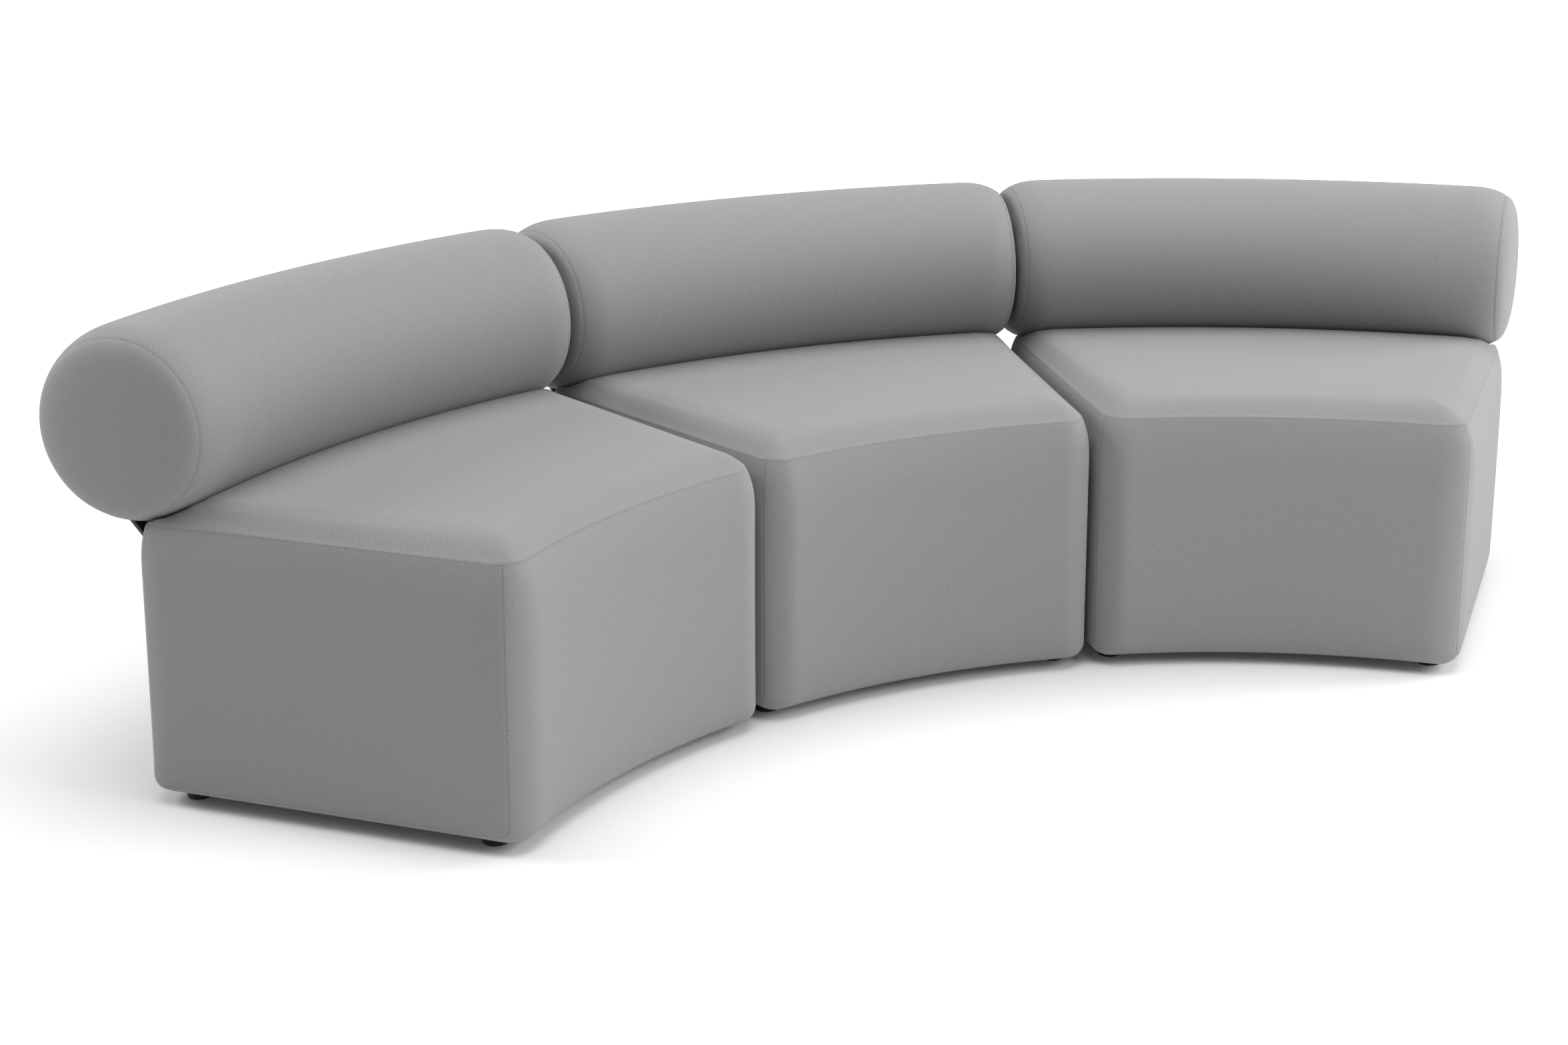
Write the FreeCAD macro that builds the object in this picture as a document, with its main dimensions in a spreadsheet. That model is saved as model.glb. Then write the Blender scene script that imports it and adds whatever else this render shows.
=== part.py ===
"""Curved modular sofa: three alike wedge modules, each an upholstered block with a bolster back.

Every module is built once about the centre of the sofa's arc, with its middle on +Y, and three
linked copies stand side by side. Millimetres, +Z up, the sofa faces -Y.
"""
import FreeCAD, Part
import Sketcher
import math
import os
import re

V = FreeCAD.Vector
UP = V(0, 0, 1)

# Driving dimensions
SIZES = {
    "module_angle": 30,
    "module_gap": 1.5,
    "front_radius": 1124,
    "seat_depth": 608,
    "seat_height": 450,
    "floor_gap": 15,
    "front_corner": 53,
    "back_corner": 39,
    "top_edge": 66,
    "bottom_edge": 29,
    "cover_thickness": 1.5,
    "soft_fit": 0.2,
    "top_foam": 110,
    "board_thickness": 15,
    "board_corner_ease": 2,
    "hem_width": 60,
    "bolster_radius": 142.5,
    "bolster_overhang": 13,
    "bolster_sink": 38.5,
    "bolster_end_round": 48,
    "bolster_end_gap": 5,
    "bolster_seam": 13.7,
    "nest_clearance": 0.5,
    "core_setback": 40,
    "core_thickness": 18,
    "core_height": 140,
    "core_end": 30,
    "foot_radius": 20,
    "foot_taper": 1.5,
    "foot_front_setback": 74,
    "foot_back_setback": 61,
    "foot_side_setback": 49,
    "foot_screw_seat": 9,
    "screw_head_radius": 4.5,
    "screw_head_height": 3,
    "screw_radius": 2.2,
    "screw_length": 18,
    "screw_fit": 0.1,
    "head_room": 0.6,
    "strap_width": 50,
    "strap_thickness": 5,
    "strap_fit": 0.4,
    "strap_setback": 65,
    "strap_lap": 88.3,
    "strap_bend_rise": 26,
    "strap_bend_drop": 102,
    "strap_reach": 36,
    "strap_bend_radius": 4,
    "strap_low_margin": 38,
    "strap_high_margin": 45,
    "strap_screw_pitch": 34,
    "link_setback": 150,
    "link_width": 40,
    "link_thickness": 4,
    "link_root": 95,
    "link_inset": 32,
    "link_engagement": 42,
    "link_clearance": 0.4,
    "link_screw_inset": 46,
    "link_screw_pitch": 30,
    "socket_length": 50,
    "socket_wall": 3,
    "socket_cheek": 14,
}

# Places and sizes that follow from the driving dimensions
DERIVED = {
    "half_angle": "module_angle / 2",
    "half_gap": "module_gap / 2",
    "back_radius": "front_radius + seat_depth",
    "foam_inset": "cover_thickness + soft_fit",
    "frame_inset": "bottom_edge + soft_fit",
    "frame_front": "front_radius + frame_inset",
    "frame_back": "back_radius - frame_inset",
    "frame_side": "half_gap + frame_inset",
    "wall_front": "frame_front + board_thickness",
    "wall_back": "frame_back - board_thickness",
    "wall_side": "frame_side + board_thickness",
    "base_bottom": "floor_gap + cover_thickness",
    "base_top": "base_bottom + board_thickness",
    "base_front_corner": "max(front_corner - bottom_edge; 0) + board_corner_ease",
    "base_back_corner": "max(back_corner - bottom_edge; 0) + board_corner_ease",
    "deck_top": "seat_height - foam_inset - top_foam",
    "deck_bottom": "deck_top - board_thickness",
    "hem_inset": "frame_inset + hem_width",
    "bolster_arc": "back_radius + bolster_overhang",
    "bolster_height": "seat_height + bolster_radius - bolster_sink",
    "bolster_end_angle": "half_angle - asin(bolster_end_gap / bolster_arc) / 1 deg",
    "seam_angle": "half_angle - asin((bolster_end_gap + bolster_seam) / bolster_arc) / 1 deg",
    "core_radius": "bolster_arc + core_setback",
    "core_bottom": "bolster_height - core_height / 2",
    "core_top": "bolster_height + core_height / 2",
    "strap_bottom": "deck_top - strap_lap",
    "strap_bend_low": "deck_top + strap_bend_rise",
    "strap_bend_high": "bolster_height - strap_bend_drop",
    "strap_top": "bolster_height + strap_reach",
    "low_screw_height": "strap_bottom + strap_low_margin",
    "high_screw_height": "strap_top - strap_high_margin",
    "strap_slope": "atan2(strap_bend_high - strap_bend_low; core_radius - frame_back)",
    "strap_angle": "half_angle - asin(strap_setback / back_radius) / 1 deg",
    "link_tip": "link_inset + link_engagement",
    "link_top": "floor_gap - link_clearance",
    "link_bottom": "link_top - link_thickness",
    "socket_floor": "link_bottom - link_clearance",
    "socket_bottom": "socket_floor - socket_wall",
    "slot_half": "link_width / 2 + link_clearance",
    "socket_half": "slot_half + socket_cheek",
    "front_link": "front_radius + link_setback",
    "back_link": "back_radius - link_setback",
    "front_foot": "front_radius + foot_front_setback",
    "back_foot": "back_radius - foot_back_setback",
    "corner_reach": "sqrt((front_radius + front_corner)^2 - (half_gap + front_corner)^2)",
    "sofa_front": "cos(1.5 * module_angle) * corner_reach"
                  " + sin(1.5 * module_angle) * (half_gap + front_corner) - front_corner",
    "sofa_back": "bolster_arc + bolster_radius",
    "arc_centre": "-(sofa_front + sofa_back) / 2",
}

doc = FreeCAD.newDocument("CurvedSofa")
sheet = doc.addObject("Spreadsheet::Sheet", "Sizes")
for row, (alias, number) in enumerate(SIZES.items(), start=1):
    sheet.set(f"A{row}", alias)
    sheet.set(f"B{row}", str(number))
    sheet.setAlias(f"B{row}", alias)
doc.recompute()


def expand(text):
    """Turn named sizes in an expression into cells of the sheet."""
    def swap(match):
        word = match.group(0)
        if word in DERIVED:
            return "(" + expand(DERIVED[word]) + ")"
        return "Sizes." + word if word in SIZES else word
    return re.sub(r"[a-z_]+\w*", swap, str(text))


def value(text):
    """The number that an expression of named sizes comes to."""
    result = sheet.evalExpression(expand(text))
    return float(getattr(result, "Value", result))


def bind(item, **sizes):
    """Bind properties to expressions; a double underscore stands for the dot in a path."""
    for name, text in sizes.items():
        item.setExpression(name.replace("__", "."), expand(text))
    return item


def turned(item, angle, x="0", y="0", z="0"):
    """Turn an object about Z and set it at a place, all by expressions."""
    item.Placement = FreeCAD.Placement(V(0, 0, 0), FreeCAD.Rotation(UP, 1))
    bind(item, Placement__Rotation__Angle=angle, Placement__Base__x=x)
    bind(item, Placement__Base__y=y, Placement__Base__z=z)
    return item


def boolean(kind, name, base, tool):
    """A Part::Cut or Part::Common of two objects."""
    item = doc.addObject("Part::" + kind, name)
    item.Base = base
    item.Tool = tool
    return item


def cut(name, base, *tools):
    """Cut one object after another from a base; the last result has the plain name."""
    for step, tool in enumerate(tools, start=1):
        last = step == len(tools)
        base = boolean("Cut", name if last else f"{name}_step{step}", base, tool)
    return base


def compound(name, items):
    """Separate solids kept together as one object."""
    item = doc.addObject("Part::Compound", name)
    item.Links = items
    return item


def linked(name, master):
    """A linked copy of an object, with a place of its own."""
    link = doc.addObject("App::Link", name)
    link.LinkedObject = master
    link.LinkTransform = True
    return link


def origin_plane(body, role):
    """One of a body's own origin planes."""
    return [p for p in body.Origin.OriginFeatures if p.Role == role][0]


def new_sketch(body, name, role):
    """An empty sketch on one of the body's origin planes."""
    sketch = body.newObject("Sketcher::SketchObject", name)
    sketch.AttachmentSupport = (origin_plane(body, role), "")
    sketch.MapMode = "FlatFace"
    return sketch


def constrain(sketch, *spec, size=None):
    """Add a constraint and bind its value, if it has one, to the sheet."""
    if size is not None:
        spec = spec + (value(size),)
    index = sketch.addConstraint(Sketcher.Constraint(*spec))
    if size is not None:
        sketch.setExpression(f"Constraints[{index}]", expand(size))


def wedge(name, front, back, side, bottom, top):
    """A prism between two arcs about the origin, its sides parallel to the module's side planes."""
    body = doc.addObject("PartDesign::Body", name)
    sketch = new_sketch(body, name + "_outline", "XY_Plane")
    half = math.radians(value("half_angle"))
    ends = {}
    for radius in (front, back):
        turn = math.pi / 2 - half + math.asin(value(side) / value(radius))
        circle = Part.Circle(V(0, 0, 0), UP, value(radius))
        arc = Part.ArcOfCircle(circle, turn, math.pi - turn)
        ends[radius] = (arc.StartPoint, arc.EndPoint)
        sketch.addGeometry(arc, False)
    for right_or_left in (0, 1):
        line = Part.LineSegment(ends[front][right_or_left], ends[back][right_or_left])
        sketch.addGeometry(line, False)
    for arc, radius in ((0, front), (1, back)):
        constrain(sketch, "Coincident", arc, 3, -1, 1)
        constrain(sketch, "Radius", arc, size=radius)
    for line, arc_end in ((2, 1), (3, 2)):
        constrain(sketch, "Coincident", line, 1, 0, arc_end)
        constrain(sketch, "Coincident", line, 2, 1, arc_end)
        constrain(sketch, "Distance", -1, 1, line, size=side)
    constrain(sketch, "Angle", -1, 1, 2, 1, size="90 - half_angle")
    constrain(sketch, "Angle", -1, 1, 3, 1, size="90 + half_angle")
    bind(sketch, AttachmentOffset__Base__z=bottom)
    pad = body.newObject("PartDesign::Pad", name + "_pad")
    pad.Profile = sketch
    bind(pad, Length=f"({top}) - ({bottom})")
    doc.recompute()
    return body


def rounded(name, body, front, back, top=None, bottom=None):
    """Round a wedge's upright corners and, where a radius is given, its top and bottom edges."""
    solid = body.Shape
    radii = {"front": front, "back": back, "top": top, "bottom": bottom}
    edges = []
    for number, edge in enumerate(solid.Edges, start=1):
        centre = edge.CenterOfMass
        if abs(edge.BoundBox.ZLength - solid.BoundBox.ZLength) < 0.01:
            near = math.hypot(centre.x, centre.y) < value("front_radius + seat_depth / 2")
            place = "front" if near else "back"
        else:
            place = "top" if centre.z > solid.BoundBox.Center.z else "bottom"
        if radii[place]:
            edges.append((number, value(radii[place]), value(radii[place])))
    item = doc.addObject("Part::Fillet", name)
    item.Base = body
    item.Edges = edges
    doc.recompute()
    return item


def seat_block(name, inset):
    """The seat block drawn in by an inset all round, with its soft edges and corners."""
    prism = wedge(name + "_prism", f"front_radius + {inset}", f"back_radius - {inset}",
                  f"half_gap + {inset}", f"floor_gap + {inset}", f"seat_height - {inset}")
    return rounded(name, prism, f"front_corner - {inset}", f"back_corner - {inset}",
                   f"top_edge - {inset}", f"bottom_edge - {inset}")


def ring(name, grow):
    """The bolster's whole tube as a ring, grown by a clearance, which nests in the seat."""
    torus = doc.addObject("Part::Torus", name)
    bind(torus, Radius1="bolster_arc", Radius2=f"bolster_radius + {grow}")
    bind(torus, Placement__Base__z="bolster_height")
    return torus


def bolster_solid(name, inset):
    """The bolster drawn in by an inset: a tube bent along the arc, with rounded ends."""
    end = f"bolster_end_angle - asin(({inset}) / bolster_arc) / 1 deg"
    torus = doc.addObject("Part::Torus", name + "_tube")
    bind(torus, Radius1="bolster_arc", Radius2=f"bolster_radius - ({inset})", Angle3=f"2 * ({end})")
    turned(torus, f"90 - ({end})", z="bolster_height")
    doc.recompute()
    radius = value(f"bolster_end_round - ({inset})")
    end_rings = [n for n, edge in enumerate(torus.Shape.Edges, start=1)
                 if abs(edge.Length / value(f"2 * pi * (bolster_radius - ({inset}))") - 1) < 0.01]
    solid = doc.addObject("Part::Fillet", name)
    solid.Base = torus
    solid.Edges = [(n, radius, radius) for n in end_rings]
    doc.recompute()
    return solid


def strap(name, grow):
    """A flat steel strap with two bends, grown by a clearance, in the module's middle plane."""
    body = doc.addObject("PartDesign::Body", name)
    sketch = new_sketch(body, name + "_profile", "YZ_Plane")
    fall = "(1 - sin(strap_slope)) / cos(strap_slope)"
    inner_fall = f"{grow} * {fall}"
    outer_fall = f"(strap_thickness + {grow}) * {fall}"
    inner = [("frame_back - " + grow, "strap_bottom - " + grow),
             ("frame_back - " + grow, f"strap_bend_low + {inner_fall}"),
             ("core_radius - " + grow, f"strap_bend_high + {inner_fall}"),
             ("core_radius - " + grow, "strap_top + " + grow)]
    outer = [("core_radius + strap_thickness + " + grow, "strap_top + " + grow),
             ("core_radius + strap_thickness + " + grow, f"strap_bend_high - {outer_fall}"),
             ("frame_back + strap_thickness + " + grow, f"strap_bend_low - {outer_fall}"),
             ("frame_back + strap_thickness + " + grow, "strap_bottom - " + grow)]
    path = inner + outer
    points = [V(value(y), value(z), 0) for y, z in path]
    for start, end in zip(points, points[1:] + points[:1]):
        sketch.addGeometry(Part.LineSegment(start, end), False)
    for number, (y, z) in enumerate(path):
        constrain(sketch, "Coincident", number - 1 if number else len(path) - 1, 2, number, 1)
        constrain(sketch, "DistanceX", -1, 1, number, 1, size=y)
        constrain(sketch, "DistanceY", -1, 1, number, 1, size=z)
    pad = body.newObject("PartDesign::Pad", name + "_pad")
    pad.Profile = sketch
    pad.Midplane = True
    bind(pad, Length=f"strap_width + 2 * ({grow})")
    doc.recompute()
    outside = f"strap_bend_radius + strap_thickness + {grow}"
    inside = f"strap_bend_radius - {grow}"
    for step, (corners, radius) in enumerate((((1, 5), outside), ((2, 6), inside)), start=1):
        wanted = [points[c] for c in corners]
        base = body.Tip
        names = [f"Edge{n}" for n, edge in enumerate(base.Shape.Edges, start=1)
                 if edge.BoundBox.XLength > value("strap_thickness")
                 and any(math.hypot(edge.CenterOfMass.y - p.x, edge.CenterOfMass.z - p.y) < 0.01
                         for p in wanted)]
        bend = body.newObject("PartDesign::Fillet", f"{name}_bend{step}")
        bend.Base = (base, names)
        bind(bend, Radius=radius)
        doc.recompute()
    return body


def cylinder(name, radius, bottom, top):
    """A round solid on the Z axis."""
    item = doc.addObject("Part::Cylinder", name)
    return bind(item, Radius=radius, Height=f"({top}) - ({bottom})", Placement__Base__z=bottom)


def box(name, length, width, height):
    """A plain box from the origin along +X, +Y and +Z."""
    return bind(doc.addObject("Part::Box", name), Length=length, Width=width, Height=height)


def side_spot(side, along, inward, lift):
    """A place given along a side plane and inward from it; side is 1 for the right, -1 for the left."""
    x = f"{side} * (sin(half_angle) * ({along}) - cos(half_angle) * ({inward}))"
    y = f"cos(half_angle) * ({along}) + sin(half_angle) * ({inward})"
    return x, y, lift


def on_arc(radius, inward):
    """How far along a side plane a point lies that is at a radius and inward of that plane."""
    return f"sqrt(({radius})^2 - ({inward})^2)"


def at_spots(name, master, spots):
    """Linked upright copies of one object at a list of places."""
    copies = []
    for number, (x, y, z) in enumerate(spots, start=1):
        copy = linked(f"{name}_{number}", master)
        copies.append(bind(copy, Placement__Base__x=x, Placement__Base__y=y, Placement__Base__z=z))
    return compound(name, copies)


# Fabric and foam blocks of the seat
outer_block = seat_block("outer_block", "0")
cover_space = seat_block("cover_space", "cover_thickness")
foam_block = seat_block("foam_block", "(foam_inset)")
outer_nest = boolean("Cut", "outer_nest", outer_block, ring("nest_outer", "nest_clearance"))
cover_nest = boolean("Cut", "cover_nest", cover_space,
                     ring("nest_cover", "nest_clearance + cover_thickness"))
foam_nest = boolean("Cut", "foam_nest", foam_block, ring("nest_foam", "nest_clearance + foam_inset"))

# Screws: one pan-head wood screw, its pilot hole and the room for its head
screw_head = cylinder("screw_head", "screw_head_radius", "-screw_head_height", "0")
screw_shank = cylinder("screw_shank", "screw_radius", "0", "screw_length")
screw = doc.addObject("Part::Fuse", "screw")
screw.Base = screw_head
screw.Tool = screw_shank
pilot = cylinder("pilot", "screw_radius + screw_fit", "0", "screw_length")
head_pocket = cylinder("head_pocket", "screw_head_radius + head_room",
                       "-screw_head_height - head_room", "0")

# Where the screws of the feet and of the link plates go
FOOT_SCREWS = [side_spot(side, on_arc(radius, "half_gap + foot_side_setback"),
                         "half_gap + foot_side_setback", "foot_screw_seat")
               for side in (1, -1) for radius in ("front_foot", "back_foot")]
TONGUE_SCREWS = [side_spot(1, link, inward, "link_bottom")
                 for link in ("front_link", "back_link")
                 for inward in ("link_screw_inset", "link_screw_inset + link_screw_pitch")]
SOCKET_SCREWS = [side_spot(-1, f"{link} + {sign} * (socket_half - socket_cheek / 2)",
                           "link_inset + socket_length / 2", "socket_bottom")
                 for link in ("front_link", "back_link") for sign in (1, -1)]
foot_screws = at_spots("foot_screws", screw, FOOT_SCREWS)
tongue_screws = at_spots("tongue_screws", screw, TONGUE_SCREWS)
socket_screws = at_spots("socket_screws", screw, SOCKET_SCREWS)
base_pilots = at_spots("base_pilots", pilot, FOOT_SCREWS + TONGUE_SCREWS + SOCKET_SCREWS)

# Steel straps that carry the bolster, with their screws lying along the radius
back_strap = strap("back_strap", "0")
strap_space = strap("strap_space", "strap_fit")
STRAP_SCREWS = [(face, f"{height} + {sign} * strap_screw_pitch / 2")
                for face, height in (("frame_back", "low_screw_height"),
                                     ("core_radius", "high_screw_height"))
                for sign in (1, -1)]


def along_radius(name, master):
    """Copies of an upright object turned to point at the arc's centre, at the strap's screw places."""
    copies = []
    for number, (face, height) in enumerate(STRAP_SCREWS, start=1):
        copy = linked(f"{name}_{number}", master)
        copy.Placement = FreeCAD.Placement(V(0, 0, 0), FreeCAD.Rotation(V(1, 0, 0), 90))
        bind(copy, Placement__Base__y=f"{face} + strap_thickness", Placement__Base__z=height)
        copies.append(copy)
    return compound(name, copies)


def both_ends(name, master):
    """One copy of an object near each end of the bolster."""
    right = turned(linked(name + "_right", master), "-(strap_angle)")
    left = turned(linked(name + "_left", master), "strap_angle")
    return compound(name, [right, left])


strap_pilots = along_radius("strap_pilots", pilot)
back_brackets = both_ends("back_brackets", boolean("Cut", "drilled_strap", back_strap, strap_pilots))
bracket_screws = both_ends("bracket_screws", along_radius("strap_screws", screw))
bracket_space = both_ends("bracket_space", strap_space)
bracket_pilots = both_ends("bracket_pilots", strap_pilots)
head_space = both_ends("head_space", along_radius("head_pockets", head_pocket))

# Wooden carcass: base, deck, curved front and back, sides and a middle rib
base_blank = wedge("base_blank", "frame_front", "frame_back", "frame_side", "base_bottom", "base_top")
base_board = cut("base_board", rounded("base_plate", base_blank, "base_front_corner", "base_back_corner"),
                 base_pilots)
seat_deck = wedge("seat_deck", "frame_front", "frame_back", "frame_side", "deck_bottom", "deck_top")
front_board = wedge("front_board", "frame_front", "wall_front", "frame_side", "base_top", "deck_bottom")
back_board = cut("back_board",
                 wedge("back_blank", "wall_back", "frame_back", "frame_side", "base_top", "deck_bottom"),
                 bracket_pilots)
side_boards = cut("side_boards",
                  wedge("sides_outside", "wall_front", "wall_back", "frame_side", "base_top", "deck_bottom"),
                  wedge("sides_inside", "wall_front", "wall_back", "wall_side", "base_top", "deck_bottom"))
rib_plank = box("rib_plank", "board_thickness", "back_radius", "seat_height")
bind(rib_plank, Placement__Base__x="-board_thickness / 2")
rib = boolean("Common", "rib",
              wedge("rib_space", "wall_front", "wall_back", "wall_side", "base_top", "deck_bottom"),
              rib_plank)

# Seat foam: a slab on the deck and a wrap round the carcass
below_deck = box("below_deck", "2 * back_radius", "2 * back_radius", "deck_top")
bind(below_deck, Placement__Base__x="-back_radius")
carcass_space = wedge("carcass_space", "frame_front - soft_fit", "frame_back + soft_fit",
                      "frame_side - soft_fit", "0", "deck_top")
seat_top_foam = cut("seat_top_foam", foam_nest, below_deck, bracket_space)
wrap_solid = boolean("Common", "wrap_solid", foam_nest, below_deck)
seat_wrap_foam = cut("seat_wrap_foam", wrap_solid, carcass_space, bracket_space, head_space)

# Seat cover, hemmed under the base, and the dust cover that closes the bottom
hem_opening = wedge("hem_opening", "front_radius + hem_inset", "back_radius - hem_inset",
                    "half_gap + hem_inset", "0", "base_top")
seat_cover = cut("seat_cover", outer_nest, cover_nest, hem_opening, bracket_space, base_pilots)
dust_cover = wedge("dust_cover", "front_radius + hem_inset + soft_fit",
                   "back_radius - hem_inset - soft_fit", "half_gap + hem_inset + soft_fit",
                   "floor_gap", "base_bottom")

# Feet: low round glides, each with a counterbore for its screw
foot_cone = doc.addObject("Part::Cone", "foot_cone")
bind(foot_cone, Radius1="foot_radius - foot_taper", Radius2="foot_radius", Height="floor_gap")
foot = cut("foot", foot_cone,
           cylinder("foot_bore", "screw_radius + screw_fit", "0", "floor_gap"),
           cylinder("foot_counterbore", "screw_head_radius + head_room", "0", "foot_screw_seat"))
feet = at_spots("feet", foot, [(x, y, "0") for x, y, seat in FOOT_SCREWS])

# Bolster: a bent board in a foam roll, in a sewn tube of fabric with a cap on each end
bolster_core = cut("bolster_core",
                   wedge("core_blank", "core_radius - core_thickness", "core_radius", "core_end",
                         "core_bottom", "core_top"),
                   bracket_pilots)
core_space = wedge("core_space", "core_radius - core_thickness - soft_fit", "core_radius + soft_fit",
                   "core_end - soft_fit", "core_bottom - soft_fit", "core_top + soft_fit")
bolster_foam = cut("bolster_foam", bolster_solid("foam_roll", "foam_inset"), core_space,
                   bracket_space, head_space)
bolster_shell = cut("bolster_shell", bolster_solid("bolster_outside", "0"),
                    bolster_solid("bolster_inside", "cover_thickness"), bracket_space)
between_seams = doc.addObject("Part::Cylinder", "between_seams")
bind(between_seams, Radius="2 * back_radius", Height="2 * bolster_height", Angle="2 * (seam_angle)")
turned(between_seams, "90 - (seam_angle)")
bolster_cover = boolean("Common", "bolster_cover", bolster_shell, between_seams)
bolster_end_caps = boolean("Cut", "bolster_end_caps", bolster_shell, between_seams)


def beside(side, solid, along, inward, lift):
    """Set a box with its length square to a side plane, given by its corner nearest the arc's centre."""
    x, y, z = side_spot(side, along, inward, lift)
    return turned(solid, f"-{side} * half_angle", x, y, z)


# Link plates on the right side: steel tongues that reach under the next module
tongue_blanks = []
for place in ("front_link", "back_link"):
    blank = box(f"tongue_{place}", "link_root + link_tip", "link_width", "link_thickness")
    beside(1, blank, f"{place} - link_width / 2", "link_root", "link_bottom")
    tongue_blanks.append(blank)
link_tongues = cut("link_tongues", compound("tongue_blanks", tongue_blanks), base_pilots)

# Link sockets on the left side: channels that the next module's tongues slide into
socket_blanks = []
socket_slots = []
for place in ("front_link", "back_link"):
    blank = box(f"socket_{place}", "socket_length", "2 * socket_half", "floor_gap - socket_bottom")
    beside(-1, blank, f"{place} - socket_half", "link_inset", "socket_bottom")
    socket_blanks.append(blank)
    slot = box(f"slot_{place}", "socket_length", "2 * slot_half", "floor_gap - socket_floor")
    beside(-1, slot, f"{place} - slot_half", "link_inset", "socket_floor")
    socket_slots.append(slot)
link_sockets = cut("link_sockets", compound("socket_blanks", socket_blanks),
                   compound("socket_slots", socket_slots), base_pilots)

# The three modules: linked copies of every piece, turned into place about the arc's centre
PIECES = {
    "seat_cover": seat_cover,
    "seat_top_foam": seat_top_foam,
    "seat_wrap_foam": seat_wrap_foam,
    "seat_deck": seat_deck,
    "base_board": base_board,
    "front_board": front_board,
    "back_board": back_board,
    "side_boards": side_boards,
    "rib": rib,
    "dust_cover": dust_cover,
    "feet": feet,
    "bolster_core": bolster_core,
    "bolster_foam": bolster_foam,
    "bolster_cover": bolster_cover,
    "bolster_end_caps": bolster_end_caps,
    "back_brackets": back_brackets,
    "bracket_screws": bracket_screws,
}
EXTRAS = {
    "left": {"link_tongues": link_tongues,
             "base_screws": compound("left_screws", [foot_screws, tongue_screws])},
    "centre": {"link_tongues": link_tongues, "link_sockets": link_sockets,
               "base_screws": compound("centre_screws", [foot_screws, tongue_screws, socket_screws])},
    "right": {"link_sockets": link_sockets,
              "base_screws": compound("right_screws", [foot_screws, socket_screws])},
}
TURNS = {"left": "module_angle", "centre": "0", "right": "-module_angle"}
nodes = []
for module, turn in TURNS.items():
    for piece, master in {**PIECES, **EXTRAS[module]}.items():
        node = linked(f"node_{module}_{piece}", master)
        node.Label = f"{module}_{piece}"
        nodes.append(turned(node, turn, y="arc_centre"))

# Check every object, then write each piece
doc.recompute()
faults = [item.Label for item in doc.Objects if {"Invalid", "Error"} & set(item.State)]
for node in nodes:
    shape = Part.getShape(node)
    if shape.isNull() or not shape.isValid() or not shape.Solids:
        faults.append(node.Label)
if faults:
    raise RuntimeError("these pieces failed: " + ", ".join(faults))
os.makedirs("parts", exist_ok=True)
for node in nodes:
    Part.getShape(node).exportStep(f"parts/{node.Label}.step")
print(len(nodes), "pieces written")
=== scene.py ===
"""A curved sofa of three alike modules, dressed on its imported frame: carcass, upholstery and studio."""
import bpy
import math
from mathutils import Matrix, Vector


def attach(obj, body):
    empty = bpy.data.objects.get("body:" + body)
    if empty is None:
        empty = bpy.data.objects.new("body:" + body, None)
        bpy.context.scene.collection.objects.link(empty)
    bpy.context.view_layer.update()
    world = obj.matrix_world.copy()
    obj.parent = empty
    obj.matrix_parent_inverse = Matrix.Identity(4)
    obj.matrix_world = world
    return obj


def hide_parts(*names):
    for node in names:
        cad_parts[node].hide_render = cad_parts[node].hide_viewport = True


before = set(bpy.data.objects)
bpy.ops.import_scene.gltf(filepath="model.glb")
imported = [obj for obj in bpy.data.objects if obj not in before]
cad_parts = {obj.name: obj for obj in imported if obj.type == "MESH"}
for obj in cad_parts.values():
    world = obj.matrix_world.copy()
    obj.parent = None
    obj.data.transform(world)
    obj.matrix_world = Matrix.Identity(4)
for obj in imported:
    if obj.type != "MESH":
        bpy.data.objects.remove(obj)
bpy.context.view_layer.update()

# Carcass boards: a birch plywood box in every module and a bent plywood board in every bolster.
# They are sawn, glued and stapled, and the upholstery hides them all, so the frame's own solids stay.
# Each module has its turn round the sofa's arc, in degrees.
MODULES = {"left": 30, "centre": 0, "right": -30}
BOARDS = ["seat_deck", "base_board", "front_board", "back_board", "side_boards", "rib", "bolster_core"]


def linear(code):
    """A colour written as an sRGB hex code, as the linear colour that a shader takes."""
    parts = [int(code[i:i + 2], 16) / 255 for i in (1, 3, 5)]
    return [c / 12.92 if c <= 0.04045 else ((c + 0.055) / 1.055) ** 2.4 for c in parts] + [1.0]


def add(tree, kind, sockets=None, **settings):
    """Add a node with its settings; a socket gets a number, a colour or a link from another node."""
    node = tree.nodes.new("ShaderNode" + kind)
    for name, setting in settings.items():
        setattr(node, name, setting)
    for name, source in (sockets or {}).items():
        if isinstance(source, bpy.types.NodeSocket):
            tree.links.new(source, node.inputs[name])
        else:
            node.inputs[name].default_value = source
    return node


def start_material(name, **sockets):
    """A new material, with constants set on its own shader's sockets."""
    material = bpy.data.materials.new(name)
    material.use_nodes = True
    shader = material.node_tree.nodes["Principled BSDF"]
    for socket, setting in sockets.items():
        shader.inputs[socket.replace("_", " ")].default_value = setting
    return material, material.node_tree, shader


def noise(tree, vector, scale, detail, distortion=0.0):
    """A cloudy pattern from 0 to 1, with its scale in cells to the vector's unit."""
    sockets = {"Vector": vector, "Scale": scale, "Detail": detail, "Distortion": distortion}
    return add(tree, "TexNoise", sockets).outputs["Fac"]


def colour_by(tree, shader, pattern, dark, light):
    """Colour a material by a pattern, from one sRGB code to another."""
    tone = add(tree, "ValToRGB", {"Fac": pattern})
    tone.color_ramp.elements[0].color = linear(dark)
    tone.color_ramp.elements[1].color = linear(light)
    tree.links.new(tone.outputs["Color"], shader.inputs["Base Color"])


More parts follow.
